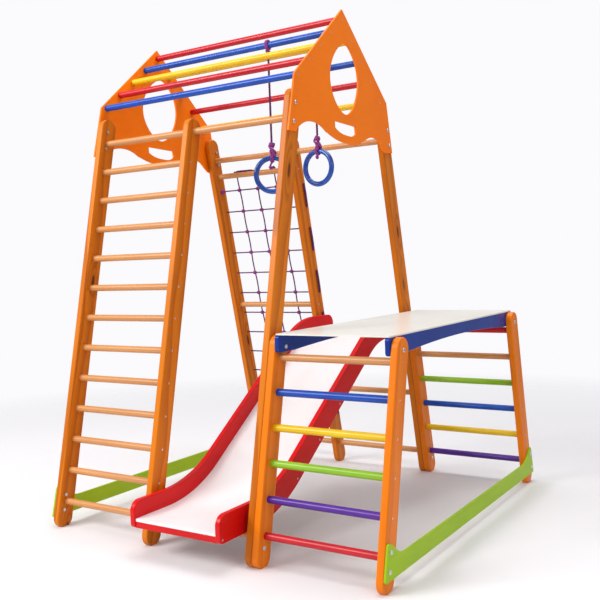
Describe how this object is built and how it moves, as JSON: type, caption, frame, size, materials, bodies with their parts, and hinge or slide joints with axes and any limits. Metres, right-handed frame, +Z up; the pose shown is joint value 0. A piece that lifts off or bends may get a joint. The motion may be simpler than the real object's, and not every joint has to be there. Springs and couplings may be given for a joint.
{
  "type": "toddler play gym with slide",
  "caption": "Wooden A-frame play gym with a slide, ladder, rope net, roof bars, hanging rings and a climbing platform.",
  "frame": {"origin": "on the floor, under the middle of the whole gym's box", "axes": "+X from the ladder towards the climbing platform, -Y the side the slide faces, +Z up"},
  "size_m": [1.2596, 1.3219, 1.7],
  "materials": {
    "honey_pine": "honey-stained pine under clear varnish, with grain and knots",
    "orange_lacquer": "orange-stained pine under satin lacquer",
    "orange_board": "bright orange satin paint on plywood",
    "natural_dowel": "clear-varnished beech dowel",
    "red_bar": "red satin paint on dowel",
    "blue_bar": "blue satin paint on dowel",
    "yellow_bar": "yellow satin paint on dowel",
    "green_bar": "light green satin paint on dowel",
    "purple_bar": "purple satin paint on dowel",
    "chute_red": "red gloss paint on board",
    "chute_white": "white laminate on bent plywood",
    "batten_wood": "plain planed pine",
    "panel_white": "cream-white laminate board",
    "blue_board": "blue satin paint on board",
    "lime_board": "lime green satin paint on plywood",
    "ring_blue": "glossy moulded blue plastic",
    "purple_rope": "laid synthetic rope",
    "zinc": "zinc-plated steel"
  },
  "bodies": {
    "gym_frame": {"tower_post_front_left": "honey_pine", "tower_post_front_middle": "honey_pine", "tower_post_front_right": "honey_pine", "tower_post_rear_left": "honey_pine", "tower_post_rear_middle": "honey_pine", "tower_post_rear_right": "honey_pine", "platform_leg_front_inner": "orange_lacquer", "platform_leg_front_outer": "orange_lacquer", "platform_leg_rear_inner": "orange_lacquer", "platform_leg_rear_outer": "orange_lacquer", "left_gable": "orange_board", "right_gable": "orange_board", "ladder_rungs": "natural_dowel", "front_top_bar": "natural_dowel", "rear_top_bars": "natural_dowel", "net_upper_rung": "natural_dowel", "net_middle_rung": "natural_dowel", "low_rungs": "natural_dowel", "rear_step_rung": "natural_dowel", "chute_hanger_rung": "natural_dowel", "platform_rungs_natural": "natural_dowel", "platform_rungs_red": "red_bar", "platform_rungs_blue": "blue_bar", "platform_rungs_yellow": "yellow_bar", "platform_rungs_green": "green_bar", "platform_rungs_purple": "purple_bar", "roof_bars_red": "red_bar", "roof_bars_blue": "blue_bar", "roof_bars_yellow": "yellow_bar", "chute_left_rail": "chute_red", "chute_right_rail": "chute_red", "chute_front_apron": "chute_red", "chute_battens": "batten_wood", "chute_bed": "chute_white", "platform_panel": "panel_white", "platform_rail_inner": "blue_board", "platform_rail_outer": "blue_board", "left_foot_bar": "lime_board", "right_foot_bar": "lime_board", "net_rows": "purple_rope", "net_columns": "purple_rope", "net_knots": "purple_rope", "net_lacing": "purple_rope", "gable_bolts": "zinc", "platform_bolts": "zinc", "foot_bar_bolts": "zinc", "nuts": "zinc", "rung_screws": "zinc", "roof_bar_screws": "zinc", "chute_screws": "zinc"},
    "front_hitch": {"front_bar_knot": "purple_rope"},
    "front_rope": {"front_ring_rope": "purple_rope"},
    "front_ring": {"front_gym_ring": "ring_blue", "front_ring_knot": "purple_rope"},
    "rear_hitch": {"rear_bar_knot": "purple_rope"},
    "rear_rope": {"rear_ring_rope": "purple_rope"},
    "rear_ring": {"rear_gym_ring": "ring_blue", "rear_ring_knot": "purple_rope"}
  },
  "joints": [
    {"name": "front_ring_swing", "type": "hinge", "parent": "gym_frame", "child": "front_hitch", "pos_m": [-0.04825, -0.02846, 1.611], "axis": [1, 0, 0], "range_deg": [-26, 8]},
    {"name": "front_ring_sway", "type": "hinge", "parent": "front_hitch", "child": "front_rope", "pos_m": [-0.04825, -0.02846, 1.5742], "axis": [0, -1, 0], "range_deg": [-8, 15]},
    {"name": "front_ring_turn", "type": "hinge", "parent": "front_rope", "child": "front_ring", "pos_m": [-0.04825, -0.02846, 1.29], "axis": [0, 0, 1], "range_deg": [-60, 30]},
    {"name": "rear_ring_swing", "type": "hinge", "parent": "gym_frame", "child": "rear_hitch", "pos_m": [0.05575, 0.10654, 1.6078], "axis": [1, 0, 0], "range_deg": [-8, 25]},
    {"name": "rear_ring_sway", "type": "hinge", "parent": "rear_hitch", "child": "rear_rope", "pos_m": [0.05575, 0.10654, 1.571], "axis": [0, -1, 0], "range_deg": [-15, 8]},
    {"name": "rear_ring_turn", "type": "hinge", "parent": "rear_rope", "child": "rear_ring", "pos_m": [0.05575, 0.10654, 1.29], "axis": [0, 0, 1], "range_deg": [-45, 45]}
  ]
}
